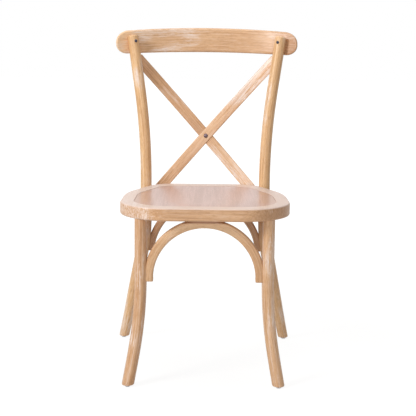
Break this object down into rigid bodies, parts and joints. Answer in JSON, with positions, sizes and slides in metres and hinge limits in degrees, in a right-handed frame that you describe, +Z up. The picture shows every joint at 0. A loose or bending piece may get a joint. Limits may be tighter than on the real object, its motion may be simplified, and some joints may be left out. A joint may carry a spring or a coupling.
{
  "type": "dining chair",
  "caption": "Wooden cross back dining chair with bent round legs, a bowed crest rail, crossed slats, a rimmed seat with a let-in panel and arched braces under the seat.",
  "frame": {"origin": "on the floor, under the middle of the chair's bounding box", "axes": "+Z up, +X to the right seen from the front, -Y the way the sitter faces"},
  "size_m": [0.504, 0.556, 0.8897],
  "materials": {
    "limed_wood": "pale limed oak, satin lacquer",
    "seat_veneer": "pale oak veneer with a pinkish grey wash, satin lacquer",
    "dark_steel": "blackened dome heads",
    "zinc_steel": "bright zinc",
    "glide_plastic": "pale grey, smooth"
  },
  "bodies": {
    "root": {"seat_rim_front": "limed_wood", "seat_rim_rear": "limed_wood", "seat_rim_left": "limed_wood", "seat_rim_right": "limed_wood", "front_leg_left": "limed_wood", "front_leg_right": "limed_wood", "back_post_left": "limed_wood", "back_post_right": "limed_wood", "crest_rail": "limed_wood", "cross_slat_front": "limed_wood", "cross_slat_rear": "limed_wood", "arch_front": "limed_wood", "arch_rear": "limed_wood", "arch_left": "limed_wood", "arch_right": "limed_wood", "rim_dowels": "limed_wood", "seat_panel": "seat_veneer", "rail_screws": "dark_steel", "slat_head_screws": "dark_steel", "slat_foot_screws": "dark_steel", "crossing_bolt": "dark_steel", "arch_leg_screws": "dark_steel", "arch_seat_screws": "dark_steel", "seat_bolts": "dark_steel", "crossing_cap_nut": "zinc_steel", "seat_bolt_washers": "zinc_steel", "seat_bolt_nuts": "zinc_steel", "glide_nails": "zinc_steel", "glide_front_left": "glide_plastic", "glide_front_right": "glide_plastic", "glide_rear_left": "glide_plastic", "glide_rear_right": "glide_plastic"}
  },
  "joints": []
}
